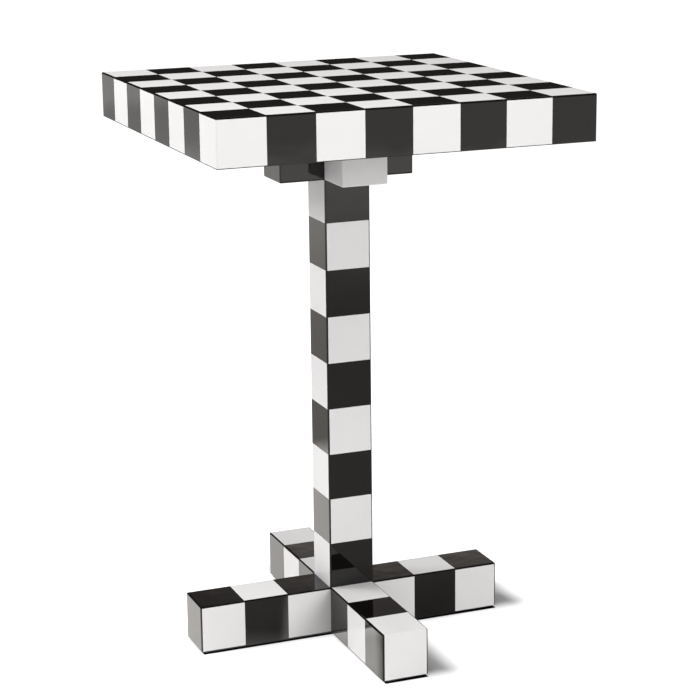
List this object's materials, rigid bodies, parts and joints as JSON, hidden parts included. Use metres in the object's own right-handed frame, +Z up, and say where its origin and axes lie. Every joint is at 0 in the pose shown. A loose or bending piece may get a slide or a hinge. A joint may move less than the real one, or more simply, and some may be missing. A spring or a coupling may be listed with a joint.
{
  "type": "chess table",
  "caption": "Pedestal chess table: inlaid board on a short cross, square post and cross-shaped foot, all faced in alternating black and white gloss squares.",
  "frame": {"origin": "on the floor, on the post's axis, level with the undersides of the glide pads", "axes": "+Z up; +X to the right and -Y to the front, both along arms of the foot; the corner square at -X -Y is dark"},
  "size_m": [0.496, 0.496, 0.75],
  "materials": {
    "black_lacquer": "high-gloss black lacquer over veneer",
    "white_lacquer": "high-gloss white lacquer over veneer",
    "black_satin_board": "satin black paint on board",
    "core_board": "bare fibreboard",
    "zinc_steel": "bright zinc plate",
    "black_nylon": "moulded nylon"
  },
  "bodies": {
    "table": {"back_arm_dark_tiles": "black_lacquer", "back_arm_light_tiles": "white_lacquer", "back_rail": "core_board", "base_beam_x": "black_satin_board", "base_beam_y": "black_satin_board", "board_dark_edge_tiles": "black_lacquer", "board_dark_squares": "black_lacquer", "board_light_edge_tiles": "white_lacquer", "board_light_squares": "white_lacquer", "cross_rail_x": "core_board", "cross_rail_y": "core_board", "dark_hole_plugs": "black_lacquer", "deck_panel": "core_board", "front_arm_dark_tiles": "black_lacquer", "front_arm_light_tiles": "white_lacquer", "front_rail": "core_board", "glide_inserts": "zinc_steel", "head_back_cladding": "white_lacquer", "head_bar_x": "core_board", "head_bar_y": "core_board", "head_front_cladding": "white_lacquer", "head_left_cladding": "black_lacquer", "head_right_cladding": "black_lacquer", "left_arm_dark_tiles": "black_lacquer", "left_arm_light_tiles": "white_lacquer", "left_rail": "core_board", "light_hole_plugs": "white_lacquer", "post_back_board": "core_board", "post_back_dark_tiles": "black_lacquer", "post_back_light_tiles": "white_lacquer", "post_bottom_plug": "core_board", "post_front_board": "core_board", "post_front_dark_tiles": "black_lacquer", "post_front_light_tiles": "white_lacquer", "post_left_board": "core_board", "post_left_dark_tiles": "black_lacquer", "post_left_light_tiles": "white_lacquer", "post_right_board": "core_board", "post_right_dark_tiles": "black_lacquer", "post_right_light_tiles": "white_lacquer", "post_top_plug": "core_board", "right_arm_dark_tiles": "black_lacquer", "right_arm_light_tiles": "white_lacquer", "right_rail": "core_board", "tie_rod": "zinc_steel", "tie_rod_nuts": "zinc_steel", "tie_rod_washers": "zinc_steel", "top_screws": "zinc_steel", "underside_panel": "black_satin_board"},
    "left_stem": {"left_glide_stem": "zinc_steel"},
    "left_pad": {"left_glide_pad": "black_nylon"},
    "right_stem": {"right_glide_stem": "zinc_steel"},
    "right_pad": {"right_glide_pad": "black_nylon"},
    "front_stem": {"front_glide_stem": "zinc_steel"},
    "front_pad": {"front_glide_pad": "black_nylon"},
    "back_stem": {"back_glide_stem": "zinc_steel"},
    "back_pad": {"back_glide_pad": "black_nylon"}
  },
  "joints": [
    {"name": "left_glide_travel", "type": "slide", "parent": "table", "child": "left_stem", "axis": [0, 0, -1], "range_m": [0, 0.008]},
    {"name": "left_pad_turn", "type": "hinge", "parent": "left_stem", "child": "left_pad", "pos_m": [-0.186, 0, 0], "axis": [0, 0, -1], "range_deg": [0, 2304.5]},
    {"name": "right_glide_travel", "type": "slide", "parent": "table", "child": "right_stem", "axis": [0, 0, -1], "range_m": [0, 0.008]},
    {"name": "right_pad_turn", "type": "hinge", "parent": "right_stem", "child": "right_pad", "pos_m": [0.186, 0, 0], "axis": [0, 0, -1], "range_deg": [0, 2304.5]},
    {"name": "front_glide_travel", "type": "slide", "parent": "table", "child": "front_stem", "axis": [0, 0, -1], "range_m": [0, 0.008]},
    {"name": "front_pad_turn", "type": "hinge", "parent": "front_stem", "child": "front_pad", "pos_m": [0, -0.186, 0], "axis": [0, 0, -1], "range_deg": [0, 2304.5]},
    {"name": "back_glide_travel", "type": "slide", "parent": "table", "child": "back_stem", "axis": [0, 0, -1], "range_m": [0, 0.008]},
    {"name": "back_pad_turn", "type": "hinge", "parent": "back_stem", "child": "back_pad", "pos_m": [0, 0.186, 0], "axis": [0, 0, -1], "range_deg": [0, 2304.5]}
  ],
  "couplings": [
    {"joint": "left_pad_turn", "follows": "left_glide_travel", "rad_per_m": 5026.5},
    {"joint": "right_pad_turn", "follows": "right_glide_travel", "rad_per_m": 5026.5},
    {"joint": "front_pad_turn", "follows": "front_glide_travel", "rad_per_m": 5026.5},
    {"joint": "back_pad_turn", "follows": "back_glide_travel", "rad_per_m": 5026.5}
  ]
}
